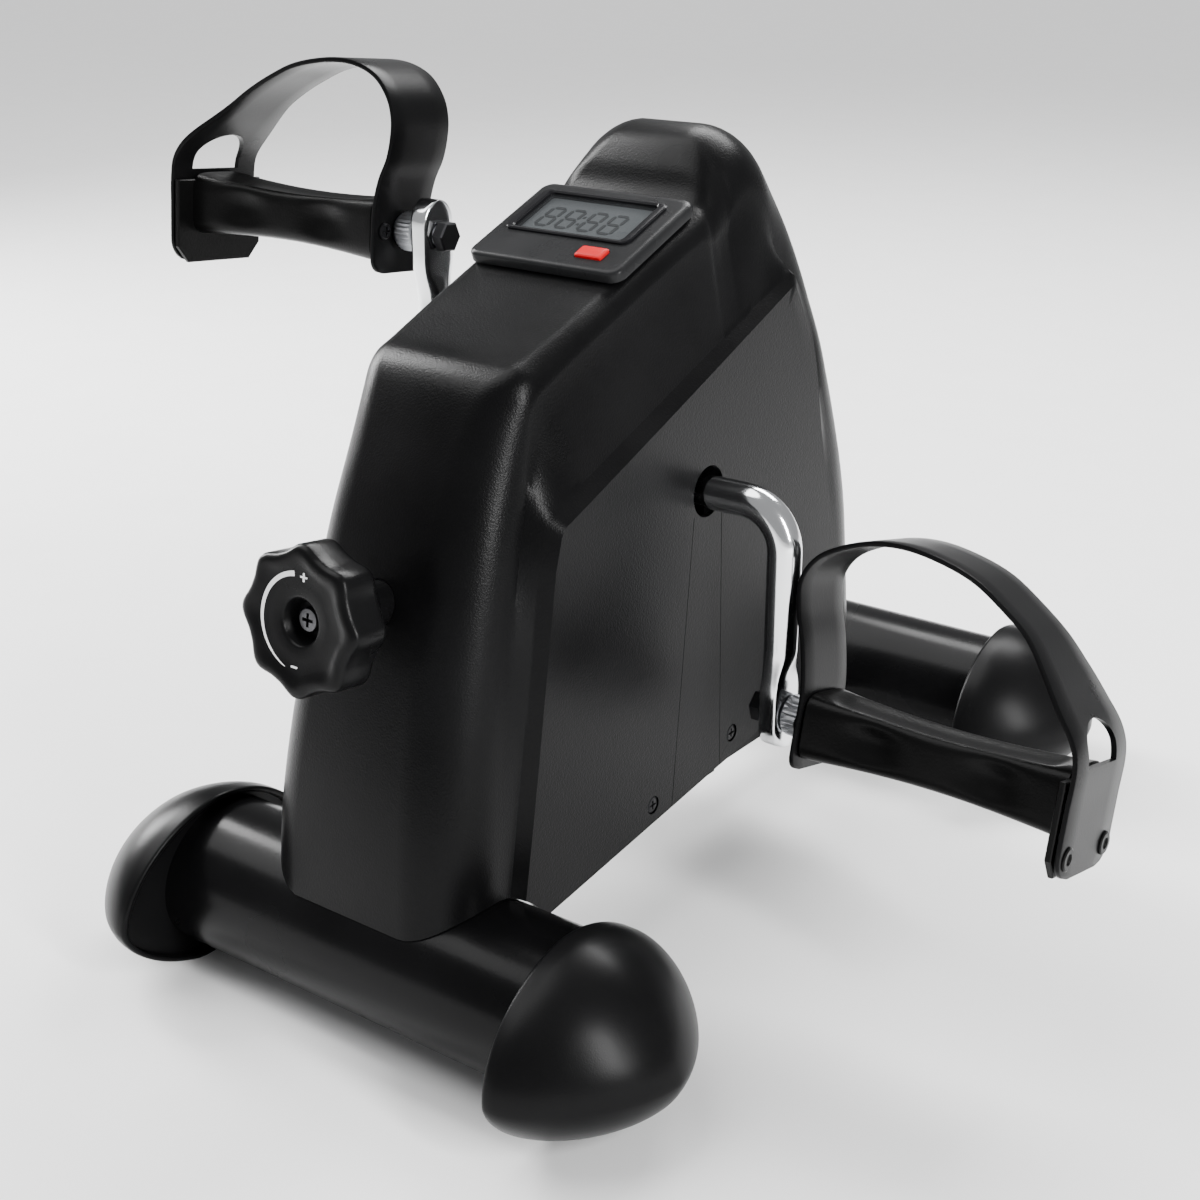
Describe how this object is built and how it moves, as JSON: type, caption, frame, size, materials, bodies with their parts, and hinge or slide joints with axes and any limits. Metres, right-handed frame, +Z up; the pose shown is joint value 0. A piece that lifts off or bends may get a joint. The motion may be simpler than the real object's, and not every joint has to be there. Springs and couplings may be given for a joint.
{
  "type": "pedal exerciser",
  "caption": "Compact floor pedal exerciser: a bent crank with strapped pedals, a band brake set by a knob, a moulded housing with a small monitor, and two capped floor tubes.",
  "frame": {"origin": "on the floor, under the middle of the overall box", "axes": "+Y from the tension knob towards the rear tube, +X along the crank's axis to the right of a person facing +Y, +Z up"},
  "size_m": [0.424, 0.4292, 0.3301],
  "materials": {
    "housing_black": "fine-textured satin black moulding",
    "tube_black": "satin black powder coat",
    "cap_black": "smooth satin black",
    "zinc_steel": "zinc plated",
    "chrome": "polished plating",
    "nut_black": "black oxide",
    "nylon": "natural nylon",
    "drum_grey": "cast, with a machined rim",
    "magnet": "nickel plated",
    "felt": "pressed felt",
    "knob_black": "satin black",
    "lead_black": "soft insulation",
    "pedal_black": "satin black",
    "strap_black": "smooth flexible plastic",
    "bezel_grey": "dark grey, satin top",
    "lcd": "pale grey liquid crystal panel",
    "lens": "clear window",
    "board_green": "green solder mask",
    "button_red": "satin red"
  },
  "bodies": {
    "frame": {"front_stabiliser_tube": "tube_black", "rear_stabiliser_tube": "tube_black", "end_cap_front_right": "cap_black", "end_cap_front_left": "cap_black", "end_cap_rear_right": "cap_black", "end_cap_rear_left": "cap_black", "frame_rail": "tube_black", "bearing_bracket": "tube_black", "crank_bush_right": "nylon", "crank_bush_left": "nylon", "brake_lining": "felt", "brake_band": "zinc_steel", "band_anchor_bolt": "zinc_steel", "nose_collar": "knob_black", "monitor_bezel": "bezel_grey", "monitor_case": "bezel_grey", "lcd_panel": "lcd", "monitor_lens": "lens", "circuit_board": "board_green", "button_cell": "zinc_steel", "battery_cover": "bezel_grey", "housing": "housing_black", "slot_filler_right": "housing_black", "slot_filler_left": "housing_black", "housing_screw_right_front": "nut_black", "housing_screw_right_rear": "nut_black", "housing_screw_left_front": "nut_black", "housing_screw_left_rear": "nut_black", "reed_sensor": "knob_black", "sensor_lead": "lead_black"},
    "crank": {"crank_rod": "chrome", "drum_half_upper": "drum_grey", "drum_half_lower": "drum_grey", "drum_bolt_front": "zinc_steel", "drum_bolt_rear": "zinc_steel", "speed_magnet": "magnet", "pedal_spindle_right": "zinc_steel", "pedal_spindle_left": "zinc_steel", "pedal_nut_right": "nut_black", "pedal_nut_left": "nut_black"},
    "pedal_right": {"pedal_body_right": "pedal_black", "pedal_strap_right": "strap_black", "strap_screw_right_front": "nut_black", "strap_screw_right_rear": "nut_black"},
    "pedal_left": {"pedal_body_left": "pedal_black", "pedal_strap_left": "strap_black", "strap_screw_left_front": "nut_black", "strap_screw_left_rear": "nut_black"},
    "knob": {"tension_knob": "knob_black", "tension_screw": "zinc_steel", "knob_screw": "zinc_steel"},
    "tension_slider": {"tension_nut": "zinc_steel", "tension_spring": "zinc_steel"},
    "button": {"mode_button": "button_red"}
  },
  "joints": [
    {"name": "crank_spin", "type": "hinge", "parent": "frame", "child": "crank", "pos_m": [0, -0.032, 0.1825], "axis": [1, 0, 0], "continuous": true},
    {"name": "pedal_right_spin", "type": "hinge", "parent": "crank", "child": "pedal_right", "pos_m": [0.15, -0.032, 0.1015], "axis": [1, 0, 0], "continuous": true},
    {"name": "pedal_left_spin", "type": "hinge", "parent": "crank", "child": "pedal_left", "pos_m": [-0.15, -0.032, 0.2635], "axis": [1, 0, 0], "continuous": true},
    {"name": "knob_turn", "type": "hinge", "parent": "frame", "child": "knob", "pos_m": [0, -0.2, 0.1725], "axis": [0, 0.9903, -0.1392], "range_deg": [0, 1440]},
    {"name": "tension_slide", "type": "slide", "parent": "frame", "child": "tension_slider", "axis": [0, -0.9903, 0.1392], "range_m": [0, 0.005]},
    {"name": "mode_button_press", "type": "slide", "parent": "frame", "child": "button", "axis": [0, 0.3567, -0.9342], "range_m": [0, 0.001], "stiffness_N_per_m": 800}
  ],
  "couplings": [
    {"joint": "knob_turn", "follows": "tension_slide", "rad_per_m": 5026.5}
  ]
}
